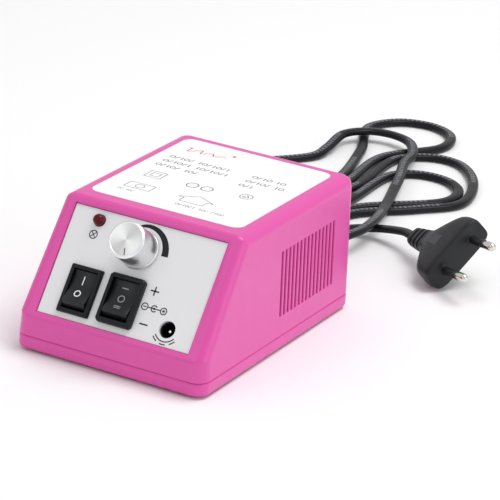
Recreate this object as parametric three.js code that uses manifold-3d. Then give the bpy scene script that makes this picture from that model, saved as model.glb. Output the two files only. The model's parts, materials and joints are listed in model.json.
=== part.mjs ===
// Desktop control unit of an electric nail drill: a wedge-fronted plastic case with a mains
// transformer, a small regulator board, two rocker switches, a speed dial, a pilot lamp and a
// low-voltage output socket, on a flat two-core mains lead with a two-pin europlug.
// Units are millimetres. +Z is up, the front of the case faces -Y, and the origin lies on the
// standing surface under the middle of the case.

import * as THREE from "three";
import { mergeVertices } from "three/addons/utils/BufferGeometryUtils.js";
import Module from "manifold-3d";

const wasm = await Module();
wasm.setup();

// ---- Driving dimensions ----

const CASE_WIDTH = 90;
const CASE_LENGTH = 129;
const CASE_HEIGHT = 59.3;
const FOOT_STAND = 1.2; // how far the feet lift the case
const TOP_NARROWING = 1.9; // side draft: the top is this much narrower on each side
const SKIRT_HEIGHT = 14.6; // upright strip below the slanted front
const CREASE_BACK = 31.8; // from the front to the edge between slant and top
const SKIRT_LEAN = 0.5;
const CORNER_RADIUS = 6;
const TOP_EDGE_RADIUS = 5;
const WALL = 2.4;
const SEAM_HEIGHT = 7.1; // height of the joint between the two shells
const SEAM_GAP = 0.3;
const FIT_GAP = 0.3;

const PANEL_HALF_WIDTH = 35.95;
const PANEL_LOW = 2.9; // along the slope, from its lower edge
const PANEL_HIGH = 50.8;
const PANEL_SINK = 0.6;
const PANEL_THICK = 1.5;
const LEDGE_WIDTH = 2.6;

const LABEL_WIDTH = 72;
const LABEL_FRONT = -25.9;
const LABEL_BACK = 56.4;
const LABEL_THICK = 0.25;

const VENT_COUNT = 15;
const VENT_PITCH = 3.24;
const VENT_WIDTH = 1.5;
const VENT_FRONT = -0.2;
const VENT_LOW = 16;
const VENT_HIGH = 45;

const SCREW_X = 37.4;
const SCREW_FRONT_Y = -53.5;
const SCREW_REAR_Y = 55.5;
const FOOT_X = 29;
const FOOT_Y = 51;
const FOOT_RADIUS = 5.5;

const SWITCH_BODY_HEIGHT = 18.6; // up the slope, of both switches
const POWER_SWITCH = {
  at: [-19.9, 15.7],
  bezel: [15, 20.8],
  bezelHeight: 1.7,
  cornerCut: 0.01,
  wellWidth: 11.2,
  rockerRise: 4, // from the pivot to the top of the rocker's ends
};
const POLARITY_SWITCH = {
  at: [-0.2, 16.2],
  bezel: [16.4, 21.4],
  bezelHeight: 2.9,
  cornerCut: 1.1,
  wellWidth: 12.6,
  rockerRise: 4.6,
};
const KNOB_AT = [-0.6, 38.6];
const LAMP_AT = [-23, 46.2];
const SOCKET_AT = [23.3, 10.2];
const SOCKET_HOLE_RADIUS = 3.65;
const ROCKER_TILT = 12; // degrees each side of level
const ROCKER_HALF_LENGTH = 8.1;
const ROCKER_LOW_END = -6.5; // where its raised ends start, up the slope from its pivot
const ROCKER_HIGH_END = 7.7;
const ROCKER_GAP = 0.4; // each side, in its well
const PIVOT_DEPTH = 1.4; // below the panel's face

const GLAND_AT = [14, 11]; // x and z of the cord outlet in the rear wall
const CORD_WIDTH = 5.2;
const CORD_THICK = 3.3;

// The mains lead's route: x, y, z of the points that its middle runs through.
const CORD_ROUTE = [
  [14, 90, 11],
  [15.4, 110, 10],
  [17.3, 128, 9.1],
  [16, 143, 8.65],
  [11.5, 160, 6.9],
  [6.8, 175, 5.65],
  [0.8, 194, 5.4],
  [-5, 212, 5.4],
  [-11.9, 230.9, 5.5],
  [-14.5, 244.9, 5.5],
  [-24.3, 260.6, 5.5],
  [-36.9, 265.1, 5.45],
  [-48.4, 261.3, 5.5],
  [-55.4, 250.8, 5.3],
  [-55, 232.8, 3.3],
  [-56, 221.5, 2],
  [-75.9, 190.5, 1.85],
  [-73.3, 173.3, 1.85],
  [-60.5, 164.5, 1.85],
  [-43.7, 168.1, 1.85],
  [-31.9, 190.7, 1.85],
  [-41.3, 241.6, 1.85],
  [-54.5, 278.2, 1.85],
  [-45.2, 295.5, 1.85],
  [-28.9, 299.5, 1.85],
  [-15.9, 291.8, 1.85],
  [-11.6, 274.2, 1.85],
  [-28.8, 241, 1.85],
  [-26.5, 188.4, 1.85],
  [-38.5, 163.5, 1.85],
  [-75.1, 153.5, 1.85],
  [-85.7, 139.8, 1.85],
  [-84, 124.6, 1.85],
  [-71.5, 113.8, 1.85],
  [-57.1, 114.7, 1.85],
  [-33.2, 146.1, 1.85],
  [-20.2, 193.7, 1.85],
  [-21.5, 244.6, 1.85],
  [-8.2, 257.3, 1.85],
  [5.7, 256.6, 1.85],
  [22.3, 237.7, 1.85],
  [30.3, 206, 1.85],
  [17.1, 186.4, 1.85],
  [-4.9, 159.8, 1.85],
  [-7.4, 129, 1.85],
  [-5.5, 91.4, 1.85],
  [-13.2, 81.2, 1.85],
  [-27.2, 78.5, 1.85],
  [-41.7, 87.2, 1.85],
  [-45.3, 101.5, 1.85],
  [-17.9, 145, 1.85],
  [-4.9, 172, 1.85],
  [23.5, 204.9, 1.85],
  [22.3, 221.2, 1.85],
  [11.1, 231, 1.85],
  [-3.3, 230.7, 1.85],
  [-13.2, 220.7, 1.85],
  [-15.2, 165.9, 1.85],
  [-34.3, 132.2, 1.85],
  [-51.9, 100.5, 1.85],
  [-41.2, 77.6, 1.85],
  [-16.3, 72.8, 1.85],
  [-3.3, 81.4, 1.85],
  [0.9, 93.2, 1.85],
  [-0.6, 114.1, 2.05],
  [-0.7, 129, 2.59],
  [5.9, 139.5, 3.4],
  [16.4, 143.4, 5],
  [33.2, 139.1, 8.77],
  [40.2, 134.3, 9.8],
];
const CORD_STEPS = 100;

const PLUG_FACE = [73, 111.75, 16.05]; // middle of the plug's front face
const PLUG_ACROSS = [0.333, 0.67, 0.663]; // from one pin to the other
const PLUG_FORWARD = [0.813, -0.56, 0.158]; // the way that the pins point
const PIN_SPACING = 18.6;

// ---- Values worked out from them ----

const BASE_Z = FOOT_STAND;
const TOP_Z = FOOT_STAND + CASE_HEIGHT;
const FRONT_Y = -CASE_LENGTH / 2;
const BACK_Y = CASE_LENGTH / 2;
const SKIRT_TOP_Z = BASE_Z + SKIRT_HEIGHT;
const SLOPE = Math.atan2(CASE_HEIGHT - SKIRT_HEIGHT, CREASE_BACK - SKIRT_LEAN);
const FLOOR_TOP_Z = BASE_Z + 2.2;

// ---- Solids: three.js geometry in and out of manifold-3d ----

function solidOf(geometry) {
  const bare = geometry.index ? geometry.toNonIndexed() : geometry.clone();
  bare.deleteAttribute("normal");
  bare.deleteAttribute("uv");
  const merged = mergeVertices(bare, 1e-4);
  return new wasm.Manifold(
    new wasm.Mesh({
      numProp: 3,
      vertProperties: merged.attributes.position.array,
      triVerts: new Uint32Array(merged.index.array),
    }),
  );
}

function geometryOf(solid) {
  const mesh = solid.getMesh();
  const positions = new Float32Array(mesh.numVert * 3);
  for (let i = 0; i < mesh.numVert; i++) {
    const from = i * mesh.numProp;
    positions.set(mesh.vertProperties.subarray(from, from + 3), i * 3);
  }
  const geometry = new THREE.BufferGeometry();
  geometry.setAttribute("position", new THREE.BufferAttribute(positions, 3));
  geometry.setIndex(new THREE.BufferAttribute(mesh.triVerts, 1));
  geometry.computeVertexNormals();
  return geometry;
}

function cut(body, ...tools) {
  return geometryOf(tools.reduce((left, tool) => left.subtract(solidOf(tool)), solidOf(body)));
}

function join(body, ...others) {
  return geometryOf(others.reduce((sum, other) => sum.add(solidOf(other)), solidOf(body)));
}

function common(body, ...others) {
  return geometryOf(others.reduce((rest, other) => rest.intersect(solidOf(other)), solidOf(body)));
}

// ---- Shapes ----

function box(low, high) {
  const size = high.map((value, i) => value - low[i]);
  const middle = high.map((value, i) => (value + low[i]) / 2);
  return new THREE.BoxGeometry(...size).translate(...middle);
}

// A closed outline through corners given as [x, y, radius].
function roundedOutline(corners) {
  const shape = new THREE.Shape();
  corners.forEach(([x, y, radius = 0], i) => {
    const here = new THREE.Vector2(x, y);
    const before = new THREE.Vector2(...corners.at(i - 1).slice(0, 2));
    const after = new THREE.Vector2(...corners[(i + 1) % corners.length].slice(0, 2));
    const toBefore = before.sub(here).normalize();
    const toAfter = after.sub(here).normalize();
    const reach = radius / Math.tan(toBefore.angleTo(toAfter) / 2);
    const start = here.clone().addScaledVector(toBefore, reach);
    const end = here.clone().addScaledVector(toAfter, reach);
    if (i === 0) shape.moveTo(start.x, start.y);
    else shape.lineTo(start.x, start.y);
    if (radius > 0) shape.quadraticCurveTo(x, y, end.x, end.y);
  });
  shape.closePath();
  return shape;
}

function roundedBoxOutline(width, height, radius, x = 0, y = 0) {
  const [w, h] = [width / 2, height / 2];
  return roundedOutline([
    [x - w, y - h, radius],
    [x + w, y - h, radius],
    [x + w, y + h, radius],
    [x - w, y + h, radius],
  ]);
}

function extrude(shape, low, high, curveSegments = 4) {
  const settings = { depth: high - low, bevelEnabled: false, curveSegments };
  return new THREE.ExtrudeGeometry(shape, settings).translate(0, 0, low);
}

// Turns an extrusion so that its outline lies in the YZ plane and its depth runs along +X.
function alongX(geometry) {
  const turn = new THREE.Matrix4().makeBasis(
    new THREE.Vector3(0, 1, 0),
    new THREE.Vector3(0, 0, 1),
    new THREE.Vector3(1, 0, 0),
  );
  return geometry.applyMatrix4(turn);
}

// Turns an extrusion so that its outline lies in the XZ plane and its depth runs along -Y.
function alongY(geometry) {
  return geometry.rotateX(Math.PI / 2);
}

// A turned piece about +Z: outline points are [radius, z], from the axis back to the axis.
function turned(points, segments = 20) {
  return new THREE.LatheGeometry(
    points.map(([radius, z]) => new THREE.Vector2(radius, z)),
    segments,
  ).rotateX(Math.PI / 2);
}

function rod(radius, low, high, x = 0, y = 0, segments = 20) {
  const outline = [
    [0, low],
    [radius, low],
    [radius, high],
    [0, high],
  ];
  return turned(outline, segments).translate(x, y, 0);
}

function ring(inner, outer, low, high, segments = 20) {
  const outline = [
    [inner, low],
    [outer, low],
    [outer, high],
    [inner, high],
    [inner, low],
  ];
  return turned(outline, segments);
}

function ovalSection(width, thick, sides) {
  const corners = [];
  for (let i = 0; i < sides; i++) {
    const angle = ((i + 0.5) / sides) * Math.PI * 2;
    corners.push(new THREE.Vector2((width / 2) * Math.cos(angle), (thick / 2) * Math.sin(angle)));
  }
  return new THREE.Shape(corners);
}

function tube(points, section, steps) {
  const curve = new THREE.CatmullRomCurve3(points.map((p) => new THREE.Vector3(...p)));
  return new THREE.ExtrudeGeometry(section, { steps, bevelEnabled: false, extrudePath: curve });
}

// ---- Colours and the group ----

const COLOURS = {
  pinkPlastic: [0xe85ab4, 0.4, 0],
  panelSilver: [0xd9d9de, 0.45, 0.2],
  labelWhite: [0xf6f5f4, 0.5, 0],
  blackPlastic: [0x1c1d20, 0.45, 0],
  rubber: [0x1a1a1a, 0.9, 0],
  steel: [0xb9bcc0, 0.35, 1],
  aluminium: [0xd4d6d8, 0.3, 1],
  brass: [0xc9a44c, 0.35, 1],
  redLens: [0x6c0a14, 0.15, 0],
  laminate: [0x74787c, 0.5, 0.8],
  copper: [0x9a4a22, 0.4, 0.6],
  boardGreen: [0x1f6a3a, 0.6, 0],
  glass: [0xdfe6e8, 0.1, 0],
  brownWire: [0x5a2f17, 0.5, 0],
  blueWire: [0x2256a8, 0.5, 0],
  redWire: [0xb02020, 0.5, 0],
};

function part(name, colour, geometry, parent) {
  const [color, roughness, metalness] = COLOURS[colour];
  const material = new THREE.MeshStandardMaterial({ color, roughness, metalness });
  const mesh = new THREE.Mesh(geometry, material);
  mesh.name = name;
  parent.add(mesh);
  return mesh;
}

const unit = new THREE.Group();

// The slanted front: x across, y up the slope from its lower edge, z out of the surface.
const front = new THREE.Group();
front.position.set(0, FRONT_Y + SKIRT_LEAN, SKIRT_TOP_Z);
front.rotation.x = SLOPE;
unit.add(front);
front.updateMatrix();

function onFront(geometry) {
  return geometry.clone().applyMatrix4(front.matrix);
}

// ---- Case ----

// Side outline of the case with all its faces moved inwards by inset.
function sideOutline(inset, low) {
  const [sin, cos] = [Math.sin(SLOPE), Math.cos(SLOPE)];
  const start = [FRONT_Y + SKIRT_LEAN + inset * sin, SKIRT_TOP_Z - inset * cos];
  const frontY = FRONT_Y + inset;
  const topZ = TOP_Z - inset;
  const skirtZ = start[1] + ((frontY + SKIRT_LEAN - start[0]) / cos) * sin;
  const creaseY = start[0] + ((topZ - start[1]) / sin) * cos;
  const soft = Math.max(TOP_EDGE_RADIUS - inset, 1);
  return roundedOutline([
    [frontY, low, 0],
    [frontY + SKIRT_LEAN, skirtZ, 2],
    [creaseY, topZ, 3],
    [BACK_Y - inset, topZ, soft],
    [BACK_Y - inset, low, 0],
  ].reverse());
}

function caseSolid(inset, low) {
  const half = CASE_WIDTH / 2 - inset;
  const soft = Math.max(TOP_EDGE_RADIUS - inset, 1);
  const side = alongX(extrude(sideOutline(inset, low), -half - 1, half + 1));
  const endOutline = roundedOutline([
    [-half, low, 0],
    [half, low, 0],
    [half - TOP_NARROWING, TOP_Z - inset, soft],
    [-half + TOP_NARROWING, TOP_Z - inset, soft],
  ]);
  const end = alongY(extrude(endOutline, -BACK_Y - 1, BACK_Y + 1));
  const planSize = [half * 2, CASE_LENGTH - 2 * inset];
  const plan = extrude(
    roundedBoxOutline(...planSize, Math.max(CORNER_RADIUS - inset, 1)),
    low - 1,
    TOP_Z + 1,
  );
  return common(side, end, plan);
}

function frontBox(halfWidth, low, high, depthLow, depthHigh, x = 0) {
  return onFront(box([x - halfWidth, low, depthLow], [x + halfWidth, high, depthHigh]));
}

function screwPlaces() {
  return [
    ["front_left", -SCREW_X, SCREW_FRONT_Y],
    ["front_right", SCREW_X, SCREW_FRONT_Y],
    ["rear_left", -SCREW_X, SCREW_REAR_Y],
    ["rear_right", SCREW_X, SCREW_REAR_Y],
  ];
}

function ventSlots() {
  const slots = [];
  for (let i = 0; i < VENT_COUNT; i++) {
    const y = VENT_FRONT + i * VENT_PITCH;
    const low = [-CASE_WIDTH, y - VENT_WIDTH / 2, VENT_LOW];
    slots.push(box(low, [CASE_WIDTH, y + VENT_WIDTH / 2, VENT_HIGH]));
  }
  return slots;
}

function upperShell() {
  const seam = SEAM_HEIGHT + SEAM_GAP / 2;
  const outer = caseSolid(0, seam);
  const hollow = caseSolid(WALL, seam - 1);
  const ledge = frontBox(PANEL_HALF_WIDTH + 3, 0.6, PANEL_HIGH + 2.6, -5, -1);
  const bosses = screwPlaces().map(([, x, y]) => rod(3.4, seam + 1, TOP_Z - 1, x, y, 14));
  const inside = common(join(ledge, ...bosses), caseSolid(WALL / 2, seam));
  const panelRecess = frontBox(
    PANEL_HALF_WIDTH + FIT_GAP,
    PANEL_LOW - FIT_GAP,
    PANEL_HIGH + FIT_GAP,
    -PANEL_SINK - PANEL_THICK - FIT_GAP,
    5,
  );
  const opening = frontBox(
    PANEL_HALF_WIDTH - LEDGE_WIDTH,
    PANEL_LOW + LEDGE_WIDTH / 2,
    PANEL_HIGH - LEDGE_WIDTH / 2,
    -20,
    5,
  );
  const pilots = screwPlaces().map(([, x, y]) => rod(1.4, 0, 22, x, y, 14));
  const outlet = alongY(rod(3.9, -BACK_Y - 5, -BACK_Y + 12, GLAND_AT[0], GLAND_AT[1], 16));
  return cut(join(cut(outer, hollow), inside), panelRecess, opening, outlet, ...pilots, ...ventSlots());
}

function lowerShell() {
  const seam = SEAM_HEIGHT - SEAM_GAP / 2;
  const below = box([-99, -99, 0], [99, 99, seam]);
  const outer = common(caseSolid(0, BASE_Z), below);
  const hollow = caseSolid(WALL, FLOOR_TOP_Z);
  const lipOuter = caseSolid(WALL + FIT_GAP, FLOOR_TOP_Z);
  const lipInner = caseSolid(WALL + FIT_GAP + 1.3, FLOOR_TOP_Z - 1);
  const lipTop = box([-99, -99, FLOOR_TOP_Z - 1], [99, 99, seam + 2]);
  const outletNotch = box([GLAND_AT[0] - 7, BACK_Y - 9, seam - 1.5], [GLAND_AT[0] + 7, BACK_Y - 2, 20]);
  const screwNotches = screwPlaces().map(([, x, y]) => rod(3.9, seam - 0.3, 20, x, y, 14));
  const lip = cut(common(cut(lipOuter, lipInner), lipTop), outletNotch, ...screwNotches);
  const posts = screwPlaces().map(([, x, y]) => rod(4.6, FLOOR_TOP_Z - 1, seam - 0.3, x, y, 16));
  const tray = join(cut(outer, hollow), lip, common(join(posts[0], ...posts.slice(1)), outer));
  const supports = [...transformerScrewPlaces(), ...boardScrewPlaces()].map(([, x, y, top]) =>
    rod(3.4, FLOOR_TOP_Z - 1, top, x, y, 12),
  );
  const blindHoles = [...transformerScrewPlaces(), ...boardScrewPlaces()].map(([, x, y]) =>
    rod(1.3, BASE_Z + 1.1, 20, x, y, 10),
  );
  const screwHoles = screwPlaces().flatMap(([, x, y]) => [
    rod(1.8, 0, 20, x, y, 10),
    rod(3.2, 0, BASE_Z + 2.2, x, y, 16),
  ]);
  const footPockets = footPlaces().map(([, x, y]) => rod(FOOT_RADIUS + FIT_GAP, 0, BASE_Z + 0.9, x, y, 20));
  return cut(join(tray, ...supports), ...blindHoles, ...screwHoles, ...footPockets);
}

function footPlaces() {
  return [
    ["front_left", -FOOT_X, -FOOT_Y],
    ["front_right", FOOT_X, -FOOT_Y],
    ["rear_left", -FOOT_X, FOOT_Y],
    ["rear_right", FOOT_X, FOOT_Y],
  ];
}

function foot() {
  return turned([
    [0, 0],
    [FOOT_RADIUS - 0.6, 0],
    [FOOT_RADIUS, 0.6],
    [FOOT_RADIUS, BASE_Z + 0.9 - FIT_GAP],
    [0, BASE_Z + 0.9 - FIT_GAP],
  ]);
}

// A screw with its head's underside at z = 0 and its shank going down, cross-slotted on top.
function screw(headRadius, headHeight, shankRadius, length) {
  const body = turned(
    [
      [0, -length],
      [shankRadius * 0.5, -length],
      [shankRadius, -length + 1],
      [shankRadius, 0],
      [headRadius, 0],
      [headRadius, headHeight * 0.5],
      [headRadius * 0.7, headHeight],
      [0, headHeight],
    ],
    14,
  );
  const slot = headRadius * 0.6;
  const bottom = headHeight * 0.45;
  return cut(
    body,
    box([-slot, -0.3, bottom], [slot, 0.3, headHeight + 1]),
    box([-0.3, -slot, bottom], [0.3, slot, headHeight + 1]),
  );
}

function addCase() {
  part("upper_shell", "pinkPlastic", upperShell(), unit);
  part("lower_shell", "pinkPlastic", lowerShell(), unit);
  const labelOutline = roundedBoxOutline(
    LABEL_WIDTH,
    LABEL_BACK - LABEL_FRONT,
    4,
    0,
    (LABEL_BACK + LABEL_FRONT) / 2,
  );
  const label = extrude(labelOutline, TOP_Z + 0.02, TOP_Z + 0.02 + LABEL_THICK);
  part("top_label", "labelWhite", label, unit);
  for (const [place, x, y] of footPlaces()) {
    part("foot_" + place, "rubber", foot().translate(x, y, 0), unit);
  }
  for (const [place, x, y] of screwPlaces()) {
    const fitted = screw(2.8, 1.6, 1.25, 13).rotateX(Math.PI).translate(x, y, BASE_Z + 2.2 - 0.1);
    part("case_screw_" + place, "steel", fitted, unit);
  }
}

// ---- Front panel and what is fitted to it ----

function frontPanel() {
  const top = -PANEL_SINK;
  const low = [-PANEL_HALF_WIDTH, PANEL_LOW, top - PANEL_THICK];
  const plate = box(low, [PANEL_HALF_WIDTH, PANEL_HIGH, top]);
  const switchHoles = [POWER_SWITCH, POLARITY_SWITCH].map((size) => {
    const [x, y] = size.at;
    const halfWidth = switchBodyHalf(size) + FIT_GAP;
    const halfHeight = SWITCH_BODY_HEIGHT / 2 + FIT_GAP;
    return box([x - halfWidth, y - halfHeight, -5], [x + halfWidth, y + halfHeight, 5]);
  });
  const dialHole = rod(3.8, -5, 5, ...KNOB_AT, 20);
  const lampHole = rod(2.8, -5, 5, ...LAMP_AT, 20);
  const socketHole = rod(SOCKET_HOLE_RADIUS, -5, 5, ...SOCKET_AT, 28);
  return cut(plate, ...switchHoles, dialHole, lampHole, socketHole);
}

function switchBodyHalf(size) {
  return size.wellWidth / 2 + 0.7;
}

// A rocker switch's housing: a bezel on the panel and a box behind it, hollow for the rocker.
function switchHousing(size) {
  const [x, y] = size.at;
  const panelTop = -PANEL_SINK;
  const bezelBase = panelTop + 0.05;
  const outline = roundedBoxOutline(...size.bezel, size.cornerCut, x, y);
  const bezel = extrude(outline, bezelBase, panelTop + size.bezelHeight, 1);
  const bodyHalf = switchBodyHalf(size);
  const body = box(
    [x - bodyHalf, y - SWITCH_BODY_HEIGHT / 2, -15],
    [x + bodyHalf, y + SWITCH_BODY_HEIGHT / 2, bezelBase + 0.5],
  );
  const wellHalf = size.wellWidth / 2;
  const wellReach = ROCKER_HALF_LENGTH + 0.5;
  const well = box([x - wellHalf, y - wellReach, -9], [x + wellHalf, y + wellReach, 9]);
  const holeReach = wellHalf + 0.5;
  const pivotHoles = alongX(rod(1, -holeReach, holeReach, 0, 0, 12));
  return cut(join(bezel, body), well, pivotHoles.translate(x, y, panelTop - PIVOT_DEPTH));
}

// The rocker: a shallow saddle between two raised ends, with a pin on each side.
function rocker(size) {
  const [x, y] = size.at;
  const halfWidth = size.wellWidth / 2 - ROCKER_GAP;
  const rise = size.rockerRise;
  const outline = new THREE.Shape();
  outline.moveTo(ROCKER_LOW_END, rise);
  outline.lineTo(-ROCKER_HALF_LENGTH, 0.6);
  outline.lineTo(-ROCKER_HALF_LENGTH + 0.9, -0.2);
  outline.lineTo(-3.2, -3.6);
  outline.lineTo(3.2, -3.6);
  outline.lineTo(ROCKER_HALF_LENGTH - 0.9, -0.2);
  outline.lineTo(ROCKER_HALF_LENGTH, 0.6);
  outline.lineTo(ROCKER_HIGH_END, rise);
  outline.quadraticCurveTo(0, rise - 3, ROCKER_LOW_END, rise);
  const cap = alongX(extrude(outline, -halfWidth, halfWidth, 10));
  const pinReach = halfWidth + 0.7;
  const pin = alongX(rod(0.75, -pinReach, pinReach, 0, 0, 12));
  const tilt = THREE.MathUtils.degToRad(-ROCKER_TILT);
  return join(cap, pin).rotateX(tilt).translate(x, y, -PANEL_SINK - PIVOT_DEPTH);
}

function blade(x, y) {
  return box([x - 0.4, y - 2.3, -21], [x + 0.4, y + 2.3, -15.3]);
}

function addSwitches() {
  const [powerX, powerY] = POWER_SWITCH.at;
  const [polarityX, polarityY] = POLARITY_SWITCH.at;
  for (const [name, size] of [["power", POWER_SWITCH], ["polarity", POLARITY_SWITCH]]) {
    part(name + "_switch_housing", "blackPlastic", switchHousing(size), front);
    part(name + "_rocker", "blackPlastic", rocker(size), front);
  }
  part("power_terminal_in", "brass", blade(powerX, powerY - 4), front);
  part("power_terminal_out", "brass", blade(powerX, powerY + 4), front);
  for (const [row, offset] of [["low", -6], ["mid", 0], ["high", 6]]) {
    part("polarity_terminal_" + row + "_a", "brass", blade(polarityX - 3, polarityY + offset), front);
    part("polarity_terminal_" + row + "_b", "brass", blade(polarityX + 3, polarityY + offset), front);
  }
}

function speedKnob() {
  const body = turned(
    [
      [0, 0.6],
      [8.45, 0.6],
      [8.45, 1.4],
      [8.3, 1.7],
      [8.15, 14.2],
      [7.5, 15],
      [6.9, 15],
      [6.8, 14.7],
      [0, 14.7],
    ],
    40,
  );
  const skirtHollow = rod(6.4, 0, 4.2, 0, 0, 20);
  const shaftBore = rod(3.15, 0, 12.5, 0, 0, 20);
  const pointer = box([-0.35, -6.2, 14.3], [0.35, -3, 16]);
  return cut(body, skirtHollow, shaftBore, pointer);
}

function addSpeedControl() {
  const [x, y] = KNOB_AT;
  const panelTop = -PANEL_SINK;
  const panelBack = panelTop - PANEL_THICK;
  part("speed_knob", "aluminium", speedKnob().translate(x, y, panelTop), front);
  const flat = box([1.6, -4, panelTop + 5], [4, 4, panelTop + 20]);
  const shaft = cut(rod(2.9, panelBack - 4, panelTop + 12, 0, 0, 18), flat);
  part("pot_shaft", "aluminium", shaft.translate(x, y, 0), front);
  const bush = ring(3.2, 3.5, panelBack - 0.5, panelTop + 2.4, 18);
  const can = cut(rod(8, panelBack - 9.5, panelBack - 0.2, 0, 0, 24), rod(3.2, -99, 99, 0, 0, 18));
  const wafer = box([-6.5, -13, panelBack - 5.2], [6.5, -6.5, panelBack - 3.8]);
  const body = join(can, bush, wafer);
  part("potentiometer_body", "steel", body.translate(x, y, 0), front);
  const washer = ring(3.75, 5.6, panelTop + 0.05, panelTop + 0.6, 18);
  part("pot_washer", "steel", washer.translate(x, y, 0), front);
  const nutShape = new THREE.Shape(
    [0, 1, 2, 3, 4, 5].map((i) => {
      const angle = (i * Math.PI) / 3;
      return new THREE.Vector2(5.3 * Math.cos(angle), 5.3 * Math.sin(angle));
    }),
  );
  const nut = cut(extrude(nutShape, panelTop + 0.7, panelTop + 2.3), rod(3.75, -9, 9, 0, 0, 18));
  part("pot_nut", "steel", nut.translate(x, y, 0), front);
}

function addLamp() {
  const [x, y] = LAMP_AT;
  const back = -PANEL_SINK - PANEL_THICK;
  const lens = turned([
    [0, back - 1.4],
    [2.95, back - 1.4],
    [2.95, back - 0.3],
    [2.45, back - 0.3],
    [2.45, 0.6],
    [2.25, 1.5],
    [1.7, 2.3],
    [0.9, 2.85],
    [0, 3],
  ]);
  part("lamp_lens", "redLens", lens.translate(x, y, 0), front);
  for (const [name, offset] of [["lamp_lead_a", -1.27], ["lamp_lead_b", 1.27]]) {
    const leg = box([offset - 0.25, -0.25, back - 10], [offset + 0.25, 0.25, back - 1.7]);
    part(name, "steel", leg.translate(x, y, 0), front);
  }
}

function addOutputSocket() {
  const [x, y] = SOCKET_AT;
  const back = -PANEL_SINK - PANEL_THICK;
  const shell = rod(5, back - 12, back - 0.3, 0, 0, 28);
  const bore = rod(SOCKET_HOLE_RADIUS - 0.35, back - 9.5, 9, 0, 0, 24);
  const pinHole = rod(1.35, back - 11.4, 9, 0, 0, 14);
  part("output_socket_body", "blackPlastic", cut(shell, bore, pinHole).translate(x, y, 0), front);
  const pin = turned(
    [
      [0, back - 11.1],
      [1.05, back - 11.1],
      [1.05, back - 2.4],
      [0.7, back - 1.6],
      [0, back - 1.5],
    ],
    14,
  );
  part("output_socket_pin", "steel", pin.translate(x, y, 0), front);
}

// ---- Inside the case ----

const TRANSFORMER_AT = [-7, 30, 26.4];
const BOARD_LOW = [-31, -24, 9.2];
const BOARD_HIGH = [31, 6, 10.8];

function transformerScrewPlaces() {
  const [x, y] = TRANSFORMER_AT;
  return [
    ["left", x - 29.5, y, 4.6],
    ["right", x + 29.5, y, 4.6],
  ];
}

function boardScrewPlaces() {
  return [
    ["left", BOARD_LOW[0] + 4, -20.8, BOARD_LOW[2] - 0.2],
    ["right", BOARD_HIGH[0] - 4, -20.8, BOARD_LOW[2] - 0.2],
  ];
}

function addTransformer() {
  const [x, y, z] = TRANSFORMER_AT;
  const plate = box([-24, -11, -20], [24, 11, 20]);
  const windows = [-1, 1].map((side) => box([side * 12 - 4, -20, -12], [side * 12 + 4, 20, 12]));
  part("transformer_core", "laminate", cut(plate, ...windows).translate(x, y, z), unit);
  const coil = extrude(roundedBoxOutline(31, 37, 2.5), -11.6, 11.6);
  const leg = box([-8.3, -11.3, -20], [8.3, 11.3, 20]);
  part("transformer_winding", "copper", cut(coil, leg).translate(x, y, z), unit);
  const strap = new THREE.Shape();
  const [side, top, bottom, thick] = [24.3, 20.3, -21.4, 1];
  strap.moveTo(-32.8, bottom);
  strap.lineTo(-side, bottom);
  strap.lineTo(-side, top);
  strap.lineTo(side, top);
  strap.lineTo(side, bottom);
  strap.lineTo(32.8, bottom);
  strap.lineTo(32.8, bottom + thick);
  strap.lineTo(side + thick, bottom + thick);
  strap.lineTo(side + thick, top + thick);
  strap.lineTo(-side - thick, top + thick);
  strap.lineTo(-side - thick, bottom + thick);
  strap.lineTo(-32.8, bottom + thick);
  const holes = [-29.5, 29.5].map((at) => rod(1.7, -30, 0, at, 0, 12));
  const bracket = cut(alongY(extrude(strap, -8, 8)), ...holes);
  part("transformer_bracket", "steel", bracket.translate(x, y, z), unit);
  for (const [place, screwX, screwY] of transformerScrewPlaces()) {
    const fitted = screw(2.6, 1.5, 1.15, 3.2).translate(screwX, screwY, z - 20.2);
    part("transformer_screw_" + place, "steel", fitted, unit);
  }
}

function addBoard() {
  const holes = boardScrewPlaces().map(([, x, y]) => rod(1.6, 0, 20, x, y, 12));
  part("circuit_board", "boardGreen", cut(box(BOARD_LOW, BOARD_HIGH), ...holes), unit);
  for (const [place, x, y] of boardScrewPlaces()) {
    const fitted = screw(2.6, 1.5, 1.15, 6).translate(x, y, BOARD_HIGH[2] + 0.1);
    part("board_screw_" + place, "steel", fitted, unit);
  }
  const top = BOARD_HIGH[2] + 0.2;
  const can = (radius, height) =>
    turned([
      [0, top],
      [radius, top],
      [radius, top + height],
      [radius * 0.85, top + height + 0.4],
      [0, top + height + 0.4],
    ]);
  part("smoothing_capacitor", "blackPlastic", can(6.5, 20).translate(-20, -4, 0), unit);
  part("bridge_rectifier", "blackPlastic", box([-8, -6, top], [0, 1, top + 6]), unit);
  const fins = [];
  for (let i = 0; i < 5; i++) {
    fins.push(box([7 + i * 3.4, -4, top], [8 + i * 3.4, 5, top + 20]));
  }
  const sink = join(box([6, -6.5, top], [22.6, -4, top + 20]), ...fins);
  part("heat_sink", "aluminium", sink, unit);
  part("regulator", "blackPlastic", box([9.3, -11.4, top + 6], [19.3, -6.8, top + 15]), unit);
  const fuseZ = top + 4.2;
  const fuse = rod(2.5, -10, 10, 0, 0, 14).rotateX(Math.PI / 2).translate(27.5, -7.5, fuseZ);
  part("fuse", "glass", fuse, unit);
  const cheeks = [-15.2, 0.2].map((y) => box([24, y - 2.4, top], [31, y + 2.4, top + 5.6]));
  const seat = rod(2.8, -20, 20, 0, 0, 14).rotateX(Math.PI / 2).translate(27.5, 0, fuseZ);
  const mouth = box([25.6, -30, fuseZ], [29.4, 30, 99]);
  const holder = cut(join(box([24, -17, top], [31, 2, top + 1]), ...cheeks), seat, mouth);
  part("fuse_holder", "blackPlastic", holder, unit);
}

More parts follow.
